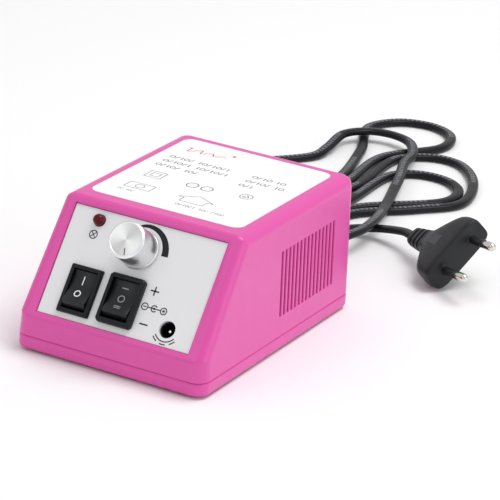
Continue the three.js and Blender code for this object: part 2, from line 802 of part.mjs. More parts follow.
// Points that the middle of each hook-up wire runs through.
const WIRES = {
  mains_live_wire: {
    colour: "brownWire",
    points: [
      [15.2, 55, 11.6],
      [22, 44, 14],
      [30, 30, 14],
      [34, 14, 16],
      [34, 6, 16],
      [30, 3.8, 15.4],
    ],
  },
  mains_neutral_wire: {
    colour: "blueWire",
    points: [
      [12.8, 55, 12.4],
      [6, 53.5, 16],
      [-2, 52.5, 22],
      [-7, 50.2, 26],
    ],
  },
  fuse_to_switch_wire: {
    colour: "brownWire",
    points: [
      [27.5, -19.2, 15],
      [20, -25, 13],
      [-4, -32, 11.6],
      [-16, -34, 12.2],
      [-19.9, -36.8, 14],
    ],
  },
  secondary_wire: {
    colour: "redWire",
    points: [
      [-14, 10.6, 24],
      [-14, 8.5, 25],
      [-10, 5.5, 22],
      [-5.5, 4.5, 19],
      [-5.5, 0, 18.2],
    ],
  },
};

function addWires() {
  const round = ovalSection(1.7, 1.7, 7);
  for (const [name, { colour, points }] of Object.entries(WIRES)) {
    part(name, colour, tube(points, round, points.length * 3), unit);
  }
}

// ---- Mains lead ----

function strainRelief() {
  const profile = [
    [0, 0],
    [4.6, 0],
    [4.6, 1.2],
    [3.6, 1.6],
    [3.6, 4.2],
    [5.6, 4.3],
    [5.6, 6],
    [4.2, 6.6],
    [3.3, 29.3],
    [0, 29.3],
  ];
  const wallInside = BACK_Y - 4.4;
  return turned(profile, 16)
    .rotateX(-Math.PI / 2)
    .translate(GLAND_AT[0], wallInside + 0.3, GLAND_AT[1]);
}

function addCord() {
  part("strain_relief", "blackPlastic", strainRelief(), unit);
  const section = ovalSection(CORD_WIDTH, CORD_THICK, 8);
  part("mains_cord", "blackPlastic", tube(CORD_ROUTE, section, CORD_STEPS), unit);
}

// The plug: x runs from pin to pin, y across the flat, z the way that the pins point.
const plug = new THREE.Group();
const plugAcross = new THREE.Vector3(...PLUG_ACROSS).normalize();
const plugForward = new THREE.Vector3(...PLUG_FORWARD);
plugForward.addScaledVector(plugAcross, -plugForward.dot(plugAcross)).normalize();
const plugFlat = plugForward.clone().cross(plugAcross);
plug.quaternion.setFromRotationMatrix(
  new THREE.Matrix4().makeBasis(plugAcross, plugFlat, plugForward),
);
plug.position.set(...PLUG_FACE);
unit.add(plug);

function plugBody() {
  const topView = roundedOutline([
    [-6.2, -24, 0.5],
    [6.2, -24, 0.5],
    [9.5, -16, 3],
    [17.4, -9.5, 3],
    [17.4, 0, 2.5],
    [-17.4, 0, 2.5],
    [-17.4, -9.5, 3],
    [-9.5, -16, 3],
  ]);
  const edgeView = roundedOutline([
    [-4.6, -24, 0.5],
    [4.6, -24, 0.5],
    [6.85, -14, 4],
    [6.85, 0, 1.5],
    [-6.85, 0, 1.5],
    [-6.85, -14, 4],
  ]);
  const faceView = roundedOutline([
    [-17.5, -3.4, 2],
    [-13.6, -6.9, 2.5],
    [13.6, -6.9, 2.5],
    [17.5, -3.4, 2],
    [17.5, 3.4, 2],
    [13.6, 6.9, 2.5],
    [-13.6, 6.9, 2.5],
    [-17.5, 3.4, 2],
  ]);
  const fromTop = alongY(extrude(topView, -8, 8));
  const fromEdge = alongX(extrude(edgeView, -19, 19));
  const fromFace = extrude(faceView, -26, 1, 3);
  const sleeves = [-1, 1].map((side) => rod(1.9, -2, 9.6, (side * PIN_SPACING) / 2, 0, 14));
  const pinBores = [-1, 1].map((side) => rod(1.5, -14, 20, (side * PIN_SPACING) / 2, 0, 12));
  return cut(join(common(fromTop, fromEdge, fromFace), ...sleeves), ...pinBores);
}

function plugPin() {
  return turned(
    [
      [0, -12],
      [1.2, -12],
      [1.2, 9.9],
      [2, 9.9],
      [2, 17.2],
      [1.6, 18.4],
      [0.8, 19],
      [0, 19],
    ],
    14,
  );
}

function plugCollar() {
  const ribbed = [
    [-24.3, 1],
    [-26.6, 0.98],
    [-26.8, 0.78],
    [-28.2, 0.76],
    [-28.4, 0.94],
    [-30.6, 0.9],
    [-30.8, 0.7],
    [-32.2, 0.68],
    [-32.4, 0.86],
    [-34.6, 0.8],
    [-34.8, 0.62],
    [-36.2, 0.6],
    [-36.4, 0.74],
    [-40, 0.66],
  ];
  const ribs = ribbed.map(([z, size]) => [size, z]).reverse();
  const outline = [[0, ribbed.at(-1)[0]], ...ribs, [0, ribbed[0][0]]];
  return turned(outline, 16).scale(6, 4.4, 1);
}

function addPlug() {
  part("plug_body", "blackPlastic", plugBody(), plug);
  part("plug_strain_relief", "blackPlastic", plugCollar(), plug);
  for (const [name, side] of [["plug_pin_a", -1], ["plug_pin_b", 1]]) {
    part(name, "steel", plugPin().translate((side * PIN_SPACING) / 2, 0, 0), plug);
  }
}

addCase();
part("front_panel", "panelSilver", frontPanel(), front);
addSwitches();
addSpeedControl();
addLamp();
addOutputSocket();
addTransformer();
addBoard();
addWires();
addCord();
addPlug();

export default unit;
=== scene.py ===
"""Looks of a nail drill's desktop control unit: a pink wedge-fronted case with a silver front
plate, two rocker switches, a dial, a lamp and an output socket, on a flat mains lead with a plug.

Sizes are in millimetres where a name or comment says so, and MM turns them into metres.
"""

import json
import math

import bmesh
import bpy
from mathutils import Matrix, Vector


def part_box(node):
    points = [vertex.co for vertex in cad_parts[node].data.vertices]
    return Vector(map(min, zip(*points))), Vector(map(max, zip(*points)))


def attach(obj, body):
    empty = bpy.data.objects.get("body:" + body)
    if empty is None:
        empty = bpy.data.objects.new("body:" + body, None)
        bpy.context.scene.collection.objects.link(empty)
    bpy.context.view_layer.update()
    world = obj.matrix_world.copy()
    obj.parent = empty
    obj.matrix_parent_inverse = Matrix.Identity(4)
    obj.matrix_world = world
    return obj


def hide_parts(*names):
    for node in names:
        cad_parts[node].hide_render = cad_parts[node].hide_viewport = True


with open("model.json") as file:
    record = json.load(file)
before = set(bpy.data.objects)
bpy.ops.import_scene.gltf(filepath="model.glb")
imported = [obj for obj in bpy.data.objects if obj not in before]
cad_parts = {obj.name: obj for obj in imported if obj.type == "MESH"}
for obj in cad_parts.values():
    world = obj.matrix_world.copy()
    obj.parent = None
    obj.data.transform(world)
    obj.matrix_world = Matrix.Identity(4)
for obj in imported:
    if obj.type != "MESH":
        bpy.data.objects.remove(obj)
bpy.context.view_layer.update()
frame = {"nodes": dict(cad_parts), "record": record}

MM = 0.001

# ---- Driving dimensions, in millimetres ----

SLOPE_FOOT = (0.0, -64.0, 15.8)
SLOPE = math.atan2(44.7, 31.3)
SHELL_LOW, SHELL_HIGH = (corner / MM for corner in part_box("upper_shell"))
HALF_WIDTH = SHELL_HIGH.x
TOP_Z = SHELL_HIGH.z
TOP_NARROWING = 1.9
FRONT_Y, BACK_Y = SHELL_LOW.y, SHELL_HIGH.y
SEAM_Z = 7.1
BASE_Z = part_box("lower_shell")[0].z / MM
WALL = 2.4

PANEL_TOP = -0.6
PANEL_HALF_WIDTH = 35.95
PANEL_LOW, PANEL_HIGH = 2.9, 50.8
POWER_SWITCH = {
    "name": "power",
    "at": (-19.9, 15.7),
    "bezel": (15, 20.8),
    "bezel_height": 1.7,
    "corner": 0.5,
    "well_width": 11.2,
    "rise": 4.0,  # from the rocker's pivot to the top of its ends
    "ink": "white_ink",
}
POLARITY_SWITCH = {
    "name": "polarity",
    "at": (-0.2, 16.2),
    "bezel": (16.4, 21.4),
    "bezel_height": 2.9,
    "corner": 1.1,
    "well_width": 12.6,
    "rise": 4.6,
    "ink": "dim_ink",
}
KNOB_AT = (-0.6, 38.6)
LAMP_AT = (-23.0, 46.2)
SOCKET_AT = (23.3, 10.2)
ROCKER_TILT = math.radians(12)

CORD_WIDTH, CORD_THICK = 5.2, 3.3

PLUG_FACE = (73.0, 111.75, 16.05)
PLUG_ACROSS = Vector((0.333, 0.67, 0.663)).normalized()
PLUG_FORWARD = Vector((0.813, -0.56, 0.158))
PIN_SPACING = 18.6

# The lead's route: the points that its middle runs through, from the case to the plug.
CORD_ROUTE = [
    (14, 90, 11), (15.4, 110, 10), (17.3, 128, 9.1), (16, 143, 8.65),
    (11.5, 160, 6.9), (6.8, 175, 5.65), (0.8, 194, 5.4), (-5, 212, 5.4),
    (-11.9, 230.9, 5.5), (-14.5, 244.9, 5.5), (-24.3, 260.6, 5.5), (-36.9, 265.1, 5.45),
    (-48.4, 261.3, 5.5), (-55.4, 250.8, 5.3), (-55, 232.8, 3.3), (-56, 221.5, 2),
    (-75.9, 190.5, 1.85), (-73.3, 173.3, 1.85), (-60.5, 164.5, 1.85), (-43.7, 168.1, 1.85),
    (-31.9, 190.7, 1.85), (-41.3, 241.6, 1.85), (-54.5, 278.2, 1.85), (-45.2, 295.5, 1.85),
    (-28.9, 299.5, 1.85), (-15.9, 291.8, 1.85), (-11.6, 274.2, 1.85), (-28.8, 241, 1.85),
    (-26.5, 188.4, 1.85), (-38.5, 163.5, 1.85), (-75.1, 153.5, 1.85), (-85.7, 139.8, 1.85),
    (-84, 124.6, 1.85), (-71.5, 113.8, 1.85), (-57.1, 114.7, 1.85), (-33.2, 146.1, 1.85),
    (-20.2, 193.7, 1.85), (-21.5, 244.6, 1.85), (-8.2, 257.3, 1.85), (5.7, 256.6, 1.85),
    (22.3, 237.7, 1.85), (30.3, 206, 1.85), (17.1, 186.4, 1.85), (-4.9, 159.8, 1.85),
    (-7.4, 129, 1.85), (-5.5, 91.4, 1.85), (-13.2, 81.2, 1.85), (-27.2, 78.5, 1.85),
    (-41.7, 87.2, 1.85), (-45.3, 101.5, 1.85), (-17.9, 145, 1.85), (-4.9, 172, 1.85),
    (23.5, 204.9, 1.85), (22.3, 221.2, 1.85), (11.1, 231, 1.85), (-3.3, 230.7, 1.85),
    (-13.2, 220.7, 1.85), (-15.2, 165.9, 1.85), (-34.3, 132.2, 1.85), (-51.9, 100.5, 1.85),
    (-41.2, 77.6, 1.85), (-16.3, 72.8, 1.85), (-3.3, 81.4, 1.85), (0.9, 93.2, 1.85),
    (-0.6, 114.1, 2.05), (-0.7, 129, 2.59), (5.9, 139.5, 3.4), (16.4, 143.4, 5),
    (33.2, 139.1, 8.77), (40.2, 134.3, 9.8),
]

FRONT = Matrix.Translation(Vector(SLOPE_FOOT) * MM) @ Matrix.Rotation(SLOPE, 4, "X")


# ---- Camera, light and floor ----


def make_camera():
    """Looks down on the front from the right, a little rolled, as a long lens sees it."""
    azimuth, elevation, roll = (math.radians(a) for a in (27.654, 21.338, 4.183))
    back = Vector(
        (
            math.sin(azimuth) * math.cos(elevation),
            -math.cos(azimuth) * math.cos(elevation),
            math.sin(elevation),
        )
    )
    data = bpy.data.cameras.new("camera")
    data.lens = 220.25
    data.sensor_width = 36
    data.clip_start, data.clip_end = 0.05, 20
    camera = bpy.data.objects.new("camera", data)
    turn = (-back).to_track_quat("-Z", "Y").to_matrix().to_4x4()
    place = Vector((576.27, -1046.43, 503.07)) * MM
    camera.matrix_world = Matrix.Translation(place) @ turn @ Matrix.Rotation(roll, 4, "Z")
    bpy.context.scene.collection.objects.link(camera)
    bpy.context.scene.camera = camera


def area_light(name, place, target, size, power, tint=(1, 1, 1)):
    data = bpy.data.lights.new(name, "AREA")
    data.shape = "DISK"
    data.size = size
    data.energy = power
    data.color = tint
    light = bpy.data.objects.new(name, data)
    light.location = place
    aim = Vector(target) - Vector(place)
    light.rotation_euler = aim.to_track_quat("-Z", "Y").to_euler()
    bpy.context.scene.collection.objects.link(light)


def make_light():
    world = bpy.data.worlds.new("studio")
    bpy.context.scene.world = world
    world.use_nodes = True
    world.node_tree.nodes["Background"].inputs["Color"].default_value = (1, 1, 1, 1)
    world.node_tree.nodes["Background"].inputs["Strength"].default_value = 0.68
    area_light("key", (0.35, 0.3, 1.2), (0, 0.03, 0.02), 0.8, 7.8)
    area_light("side", (1.2, -0.1, 0.35), (0, 0, 0.03), 0.7, 1.4)
    area_light("front", (-0.5, -1.1, 0.9), (0, 0, 0.03), 0.6, 0.8)
    bpy.context.scene.view_settings.view_transform = "Standard"


# ---- Materials ----


class Shader:
    """A material's node tree with a Principled shader, and short ways to add nodes to it."""

    def __init__(self, name):
        self.material = bpy.data.materials.new(name)
        self.material.use_nodes = True
        self.nodes = self.material.node_tree.nodes
        self.links = self.material.node_tree.links
        self.surface = self.nodes["Principled BSDF"]
        self.place = self.add("ShaderNodeTexCoord").outputs["Object"]

    def add(self, kind, **settings):
        node = self.nodes.new(kind)
        for name, value in settings.items():
            setattr(node, name, value)
        return node

    def noise(self, scale, detail=3.0, place=None):
        node = self.add("ShaderNodeTexNoise")
        node.inputs["Scale"].default_value = scale
        node.inputs["Detail"].default_value = detail
        self.links.new(place or self.place, node.inputs["Vector"])
        return node.outputs["Fac"]

    def stretch(self, scale):
        node = self.add("ShaderNodeMapping")
        node.inputs["Scale"].default_value = scale
        self.links.new(self.place, node.inputs["Vector"])
        return node.outputs["Vector"]

    def between(self, factor, low, high):
        """A value that runs from low to high as factor runs over the middle of its range."""
        node = self.add("ShaderNodeMapRange")
        node.inputs["From Min"].default_value = 0.3
        node.inputs["From Max"].default_value = 0.7
        node.inputs["To Min"].default_value = low
        node.inputs["To Max"].default_value = high
        self.links.new(factor, node.inputs["Value"])
        return node.outputs["Result"]

    def mix(self, factor, first, second):
        node = self.add("ShaderNodeMix", data_type="RGBA")
        self.links.new(factor, node.inputs["Factor"])
        node.inputs["A"].default_value = (*first, 1)
        node.inputs["B"].default_value = (*second, 1)
        return node.outputs["Result"]

    def bump(self, height, strength, depth):
        node = self.add("ShaderNodeBump")
        node.inputs["Strength"].default_value = strength
        node.inputs["Distance"].default_value = depth
        self.links.new(height, node.inputs["Height"])
        self.links.new(node.outputs["Normal"], self.surface.inputs["Normal"])

    def set(self, **values):
        for name, value in values.items():
            self.surface.inputs[name.replace("_", " ")].default_value = value

    def feed(self, name, value):
        self.links.new(value, self.surface.inputs[name])


def shade(colour, factor):
    return tuple(min(1.0, c * factor) for c in colour)


def moulded(name, colour, roughness, grain=900, depth=0.00002, mottle=0.04, **settings):
    """Moulded plastic or rubber: faint mottling, uneven gloss and a fine grain."""
    s = Shader(name)
    cloud = s.noise(35)
    s.feed("Base Color", s.mix(cloud, shade(colour, 1 - mottle), shade(colour, 1 + mottle)))
    s.feed("Roughness", s.between(s.noise(160), roughness - 0.04, roughness + 0.05))
    s.bump(s.noise(grain, 2), 0.25, depth)
    s.set(**settings)
    return s.material


def metal(name, colour, roughness, scale=(60, 60, 1400), depth=0.000008, **settings):
    """Metal with fine machining or plating marks that run across its long streaks."""
    s = Shader(name)
    streaks = s.noise(1, 2, s.stretch(scale))
    s.feed("Base Color", s.mix(streaks, shade(colour, 0.93), shade(colour, 1.05)))
    s.feed("Roughness", s.between(streaks, roughness - 0.05, roughness + 0.07))
    s.bump(streaks, 0.3, depth)
    s.set(Metallic=1.0, **settings)
    return s.material


def spun_metal_with_painted_highlights(name, colour, roughness, anisotropy, painted_highlight_fan):
    """Metal turned on a lathe about its own Z axis: fine rings, with painted highlights and painted shade in
    the base colour, lighter and darker sectors by the angle about the axis.
    """
    s = Shader(name)
    split = s.add("ShaderNodeSeparateXYZ")
    s.links.new(s.place, split.inputs["Vector"])
    angle = s.add("ShaderNodeMath", operation="ARCTAN2")
    s.links.new(split.outputs["Y"], angle.inputs[0])
    s.links.new(split.outputs["X"], angle.inputs[1])
    double = s.add("ShaderNodeMath", operation="MULTIPLY_ADD")
    s.links.new(angle.outputs[0], double.inputs[0])
    double.inputs[1].default_value = 2.0
    double.inputs[2].default_value = 1.0
    painted_highlight_swing = s.add("ShaderNodeMath", operation="COSINE")
    s.links.new(double.outputs[0], painted_highlight_swing.inputs[0])
    painted_highlight_rays = s.add("ShaderNodeMapRange")
    painted_highlight_rays.inputs["From Min"].default_value = -1
    s.links.new(painted_highlight_swing.outputs[0], painted_highlight_rays.inputs["Value"])
    # Painted highlight and painted shade: the base colour runs lighter and darker in four sectors round the
    # axis.
    light, painted_shade_colour = shade(colour, 1 + painted_highlight_fan), shade(colour, 1 - 2 * painted_highlight_fan)
    s.feed("Base Color", s.mix(painted_highlight_rays.outputs["Result"], painted_shade_colour, light))
    s.feed("Roughness", s.between(s.noise(160), roughness - 0.01, roughness + 0.02))
    tangent = s.add("ShaderNodeTangent", direction_type="RADIAL", axis="Z")
    s.links.new(tangent.outputs["Tangent"], s.surface.inputs["Tangent"])
    s.set(Metallic=1.0, Anisotropic=anisotropy)
    return s.material


def wound_copper(name):
    """Varnished turns of wire: fine ridges round the coil."""
    s = Shader(name)
    wave = s.add("ShaderNodeTexWave", wave_type="BANDS", bands_direction="Z")
    wave.inputs["Scale"].default_value = 400
    wave.inputs["Distortion"].default_value = 0.4
    s.links.new(s.place, wave.inputs["Vector"])
    s.feed("Base Color", s.mix(wave.outputs["Fac"], (0.12, 0.03, 0.01), (0.5, 0.17, 0.06)))
    s.bump(wave.outputs["Fac"], 0.5, 0.0002)
    s.set(Roughness=0.35, Coat_Weight=0.4)
    return s.material


def laminated(name):
    """A stack of thin varnished sheets."""
    s = Shader(name)
    wave = s.add("ShaderNodeTexWave", wave_type="BANDS", bands_direction="Y")
    wave.inputs["Scale"].default_value = 300
    s.links.new(s.place, wave.inputs["Vector"])
    s.feed("Base Color", s.mix(wave.outputs["Fac"], (0.07, 0.07, 0.075), (0.3, 0.31, 0.32)))
    s.feed("Roughness", s.between(s.noise(120), 0.35, 0.5))
    s.set(Metallic=0.7)
    return s.material


def printed_lead(name):
    """Black sheath with a worn row of pale marks along the middle of its flat side."""
    s = Shader(name)
    run = s.add("ShaderNodeUVMap", uv_map="run").outputs["UV"]
    split = s.add("ShaderNodeSeparateXYZ")
    s.links.new(run, split.inputs["Vector"])

    def math_node(operation, first, second=None):
        node = s.add("ShaderNodeMath", operation=operation)
        for socket, value in zip(node.inputs, (first, second)):
            if isinstance(value, (int, float)):
                socket.default_value = value
            elif value is not None:
                s.links.new(value, socket)
        return node.outputs[0]

    along, across = split.outputs["X"], split.outputs["Y"]
    # One mark every 2.4 mm, each 1.5 mm long, in rows 70 mm long with gaps between them.
    in_mark = math_node("LESS_THAN", math_node("FRACT", math_node("DIVIDE", along, 2.4)), 0.6)
    in_row = math_node("LESS_THAN", math_node("FRACT", math_node("DIVIDE", along, 110)), 0.64)
    in_band = math_node("LESS_THAN", math_node("ABSOLUTE", math_node("SUBTRACT", across, 0.25)), 0.055)
    stretched = s.add("ShaderNodeMapping")
    stretched.inputs["Scale"].default_value = (1.1, 60, 1)
    s.links.new(run, stretched.inputs["Vector"])
    broken = math_node("GREATER_THAN", s.noise(1, 1, stretched.outputs["Vector"]), 0.47)
    placed = math_node("MULTIPLY", in_mark, in_row)
    shown = math_node("MULTIPLY", placed, math_node("MULTIPLY", in_band, broken))
    s.feed("Base Color", s.mix(shown, (0.005, 0.005, 0.007), (0.22, 0.23, 0.26)))
    s.feed("Roughness", s.between(s.noise(120), 0.27, 0.36))
    s.set(Specular_IOR_Level=0.22)
    s.bump(s.noise(700, 2), 0.2, 0.00003)
    return s.material


PINK = (0.73, 0.066, 0.372)
INK = (0.022, 0.022, 0.026)


def make_materials():
    return {
        "case": moulded("case_pink", PINK, 0.36, 1500, 0.00001, 0.015, Coat_Weight=0.35, Coat_Roughness=0.3),
        "panel": moulded("panel_silver", (0.80, 0.80, 0.82), 0.42, 1800, 0.00001, 0.01),
        "label": moulded("label_white", (0.93, 0.925, 0.93), 0.38, 1200, 0.000006, 0.006),
        "ink": moulded("ink_black", INK, 0.6, 1500, 0.000005, Specular_IOR_Level=0.15),
        "grey_ink": moulded("ink_grey", (0.15, 0.147, 0.16), 0.55, 1500, 0.000005),
        "red_ink": moulded("ink_red", (0.62, 0.04, 0.04), 0.5, 1500, 0.000005),
        "white_ink": moulded("ink_white", (0.85, 0.85, 0.85), 0.5, 1500, 0.000005),
        "dim_ink": moulded("ink_dim", (0.33, 0.33, 0.34), 0.5, 1500, 0.000005),
        "black": moulded(
            "switch_black", (0.007, 0.008, 0.010), 0.38, 1300, 0.00002, Specular_IOR_Level=0.25
        ),
        "rocker": moulded(
            "rocker_black", (0.010, 0.011, 0.014), 0.33, 1600, 0.00001, Specular_IOR_Level=0.35
        ),
        "rubber": moulded("foot_rubber", (0.02, 0.02, 0.02), 0.75, 500, 0.00005),
        "sheath": moulded(
            "plug_sheath", (0.011, 0.012, 0.015), 0.4, 700, 0.00004, 0.12, Specular_IOR_Level=0.35
        ),
        "patch": moulded("plug_patch", (0.045, 0.047, 0.052), 0.5, 900, 0.00003),
        "lead": printed_lead("lead_black"),
        # The knob's base colours carry painted highlights and painted shade in sectors, strong on the face
        # and faint on the side.
        "knob_side": spun_metal_with_painted_highlights("knob_side", (0.84, 0.84, 0.85), 0.34, 0.5, 0.02),
        "knob_face": spun_metal_with_painted_highlights("knob_face", (0.79, 0.80, 0.79), 0.3, 0.8, 0.14),
        "pin": metal("pin_nickel", (0.74, 0.72, 0.67), 0.16),
        "steel": metal("plated_steel", (0.62, 0.63, 0.65), 0.28),
        "aluminium": metal("bare_aluminium", (0.72, 0.73, 0.74), 0.35),
        "brass": metal("brass_blade", (0.62, 0.43, 0.16), 0.3),
        "lens": moulded(
            "lens_red", (0.10, 0.001, 0.006), 0.08, 300, 0.000004, Specular_IOR_Level=0.22
        ),
        "core": laminated("core_sheets"),
        "winding": wound_copper("winding"),
        "board": moulded("board_green", (0.012, 0.14, 0.05), 0.4, 1500, 0.00002, 0.2),
        "glass": moulded("fuse_glass", (0.82, 0.86, 0.87), 0.06, 300, 0.000005, Transmission_Weight=0.85),
        "brown": moulded("wire_brown", (0.10, 0.03, 0.01), 0.45),
        "blue": moulded("wire_blue", (0.02, 0.09, 0.38), 0.45),
        "red": moulded("wire_red", (0.42, 0.02, 0.02), 0.45),
    }


# ---- Making meshes. Points are in millimetres. ----


def add_mesh(name, points, faces, place=None, smooth=32):
    mesh = bpy.data.meshes.new(name)
    mesh.from_pydata([Vector(p) * MM for p in points], [], faces)
    mesh.validate()
    piece = bpy.data.objects.new(name, mesh)
    bpy.context.scene.collection.objects.link(piece)
    if place is not None:
        piece.matrix_world = place
    face_out(piece)
    smooth_under(piece, smooth)
    return piece


def face_out(piece):
    shape = bmesh.new()
    shape.from_mesh(piece.data)
    bmesh.ops.recalc_face_normals(shape, faces=shape.faces)
    shape.to_mesh(piece.data)
    shape.free()


def smooth_under(piece, angle):
    piece.data.shade_smooth()
    piece.data.set_sharp_from_angle(angle=math.radians(angle))


def apply_modifiers(piece):
    bpy.context.view_layer.update()
    made = bpy.data.meshes.new_from_object(
        piece.evaluated_get(bpy.context.evaluated_depsgraph_get())
    )
    piece.modifiers.clear()
    piece.data = made


def combine(piece, others, operation):
    """Cuts others from piece, or joins them to it, and removes them."""
    for other in others:
        change = piece.modifiers.new(operation.lower(), "BOOLEAN")
        change.operation = operation
        change.solver = "EXACT"
        change.object = other
        apply_modifiers(piece)
    for other in others:
        bpy.data.objects.remove(other)
    return piece


def bevel(piece, width, segments=2, angle=35):
    change = piece.modifiers.new("bevel", "BEVEL")
    change.width = width * MM
    change.segments = segments
    change.limit_method = "ANGLE"
    change.angle_limit = math.radians(angle)
    change.harden_normals = True
    apply_modifiers(piece)
    return piece


def even_normals(piece):
    change = piece.modifiers.new("normals", "WEIGHTED_NORMAL")
    change.keep_sharp = True
    apply_modifiers(piece)
    return piece


def merge(name, pieces):
    """Several meshes as one piece, with their materials."""
    first, *rest = pieces
    with bpy.context.temp_override(
        active_object=first, object=first, selected_editable_objects=pieces
    ):
        bpy.ops.object.join()
    first.name = name
    return first


def prism(name, outline, low, high, place=None, smooth=32):
    """An outline of (x, y) points, drawn up from low to high."""
    count = len(outline)
    points = [(x, y, low) for x, y in outline] + [(x, y, high) for x, y in outline]
    faces = [tuple(range(count))[::-1], tuple(range(count, 2 * count))]
    faces += [(i, (i + 1) % count, count + (i + 1) % count, count + i) for i in range(count)]
    return add_mesh(name, points, faces, place, smooth)


def block(name, low, high, place=None):
    outline = [(low[0], low[1]), (high[0], low[1]), (high[0], high[1]), (low[0], high[1])]
    return prism(name, outline, low[2], high[2], place)


def circle(radius, count=48, at=(0, 0), turn=0.0):
    step = 2 * math.pi / count
    return [
        (at[0] + radius * math.cos(i * step + turn), at[1] + radius * math.sin(i * step + turn))
        for i in range(count)
    ]


def rounded_box(width, height, radius, at=(0, 0), steps=8):
    outline = []
    corners = [(1, 1), (-1, 1), (-1, -1), (1, -1)]
    for quarter, (sx, sy) in enumerate(corners):
        for i in range(steps + 1):
            angle = (quarter + i / steps) * math.pi / 2
            x = at[0] + sx * (width / 2 - radius) + radius * math.cos(angle)
            y = at[1] + sy * (height / 2 - radius) + radius * math.sin(angle)
            outline.append((x, y))
    return outline


def turned(name, profile, place=None, count=64, smooth=32):
    """A piece turned about Z from (radius, z) points that start and end on the axis."""
    points, rings = [], []
    for radius, z in profile:
        if radius < 1e-6:
            rings.append([len(points)])
            points.append((0, 0, z))
        else:
            start = len(points)
            points += [(x, y, z) for x, y in circle(radius, count)]
            rings.append(list(range(start, start + count)))
    faces = []
    for low, high in zip(rings, rings[1:]):
        for i in range(count):
            corner = [low[i % len(low)], low[(i + 1) % len(low)]]
            corner += [high[(i + 1) % len(high)], high[i % len(high)]]
            faces.append(tuple(dict.fromkeys(corner)))
    return add_mesh(name, points, [f for f in faces if len(f) > 2], place, smooth)


def lofted(name, sections, place=None, smooth=32):
    """A closed skin over rings of points, all with the same count, with flat ends."""
    count = len(sections[0])
    points = [p for section in sections for p in section]
    faces = [tuple(range(count))[::-1]]
    for row in range(len(sections) - 1):
        for i in range(count):
            j = (i + 1) % count
            a, b = row * count, (row + 1) * count
            faces.append((a + i, a + j, b + j, b + i))
    faces.append(tuple(range(len(points) - count, len(points))))
    return add_mesh(name, points, faces, place, smooth)


def on_front(x=0.0, y=0.0, z=0.0):
    return FRONT @ Matrix.Translation(Vector((x, y, z)) * MM)


def finished(piece, material, body, slot, *nodes, own_axes=False):
    """Gives a made piece its material and its body, and hides the CAD nodes it stands for. The slot is not
    used.
    """
    if not own_axes:
        piece.data.transform(piece.matrix_world)
        piece.matrix_world = Matrix.Identity(4)
    if material is not None:
        piece.data.materials.clear()
        piece.data.materials.append(MATERIALS[material])
    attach(piece, body)
    if nodes:
        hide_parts(*nodes)
    return piece


# ---- Mains lead and plug ----


def spline(points, steps=14):
    """Points on a centripetal Catmull-Rom curve through the route."""
    p = [Vector(q) for q in points]
    p = [2 * p[0] - p[1], *p, 2 * p[-1] - p[-2]]
    line = []
    for a, b, c, d in zip(p, p[1:], p[2:], p[3:]):
        ta = (b - a).length ** 0.5
        tb = (c - b).length ** 0.5
        tc = (d - c).length ** 0.5
        out = ((b - a) / ta - (c - a) / (ta + tb) + (c - b) / tb) * tb
        into = ((c - b) / tb - (d - b) / (tb + tc) + (d - c) / tc) * tb
        for i in range(steps):
            t = i / steps
            bend = -3 * b + 3 * c - 2 * out - into
            twist = 2 * b - 2 * c + out + into
            line.append(b + out * t + bend * t * t + twist * t**3)
    line.append(p[-2])
    return line


def lead_section(count=20, squareness=2.6):
    """A flat oval with full sides, as (across, up) points."""
    section = []
    for i in range(count):
        angle = 2 * math.pi * (i + 0.5) / count
        c, s = math.cos(angle), math.sin(angle)
        x = math.copysign(abs(c) ** (2 / squareness), c) * CORD_WIDTH / 2
        y = math.copysign(abs(s) ** (2 / squareness), s) * CORD_THICK / 2
        section.append((x, y))
    return section


def make_lead():
    line = spline(CORD_ROUTE)
    section = lead_section()
    count = len(section)
    points, run = [], [0.0]
    for i, centre in enumerate(line):
        ahead = line[min(i + 1, len(line) - 1)] - line[max(i - 1, 0)]
        side = ahead.cross(Vector((0, 0, 1))).normalized()
        up = side.cross(ahead).normalized()
        points += [centre + side * x + up * y for x, y in section]
        if i:
            run.append(run[-1] + (centre - line[i - 1]).length)
    faces = [tuple(range(count))]
    for row in range(len(line) - 1):
        for i in range(count):
            j = (i + 1) % count
            a, b = row * count, (row + 1) * count
            faces.append((a + i, a + j, b + j, b + i))
    faces.append(tuple(range(len(points) - count, len(points)))[::-1])
    lead = add_mesh("mains_lead", points, faces, smooth=50)
    uv = lead.data.uv_layers.new(name="run")
    for face in lead.data.polygons:
        loops = list(face.loop_indices)
        corners = [lead.data.loops[i].vertex_index for i in loops]
        wraps = {c % count for c in corners} >= {0, count - 1}
        for loop, corner in zip(loops, corners):
            row, i = divmod(corner, count)
            around = 1.0 if wraps and i == 0 else i / count
            uv.data[loop].uv = (run[row], around + 0.5 / count)
    finished(lead, "lead", "housing", "flex_rubber", "mains_cord")
    return lead, [point * MM for point in line]


def plug_place():
    forward = (PLUG_FORWARD - PLUG_ACROSS * PLUG_FORWARD.dot(PLUG_ACROSS)).normalized()
    flat = forward.cross(PLUG_ACROSS)
    turn = Matrix((PLUG_ACROSS, flat, forward)).transposed().to_4x4()
    return Matrix.Translation(Vector(PLUG_FACE) * MM) @ turn


def plug_outline(width, depth, boxiness, z, count=72):
    """A ring of the plug's skin: a long eight-sided shape that softens to an oval."""
    ring = []
    for i in range(count):
        angle = 2 * math.pi * i / count
        c, s = math.cos(angle), math.sin(angle)
        oval = 1 / (abs(c) ** 2.6 + abs(s) ** 2.6) ** (1 / 2.6)
        flats = 1 / (abs(c) ** 14 + abs(s) ** 14 + (0.56 * abs(c) + 0.56 * abs(s)) ** 14) ** (1 / 14)
        reach = oval + (flats - oval) * boxiness
        ring.append((c * reach * width / 2, s * reach * depth / 2, z))
    return ring


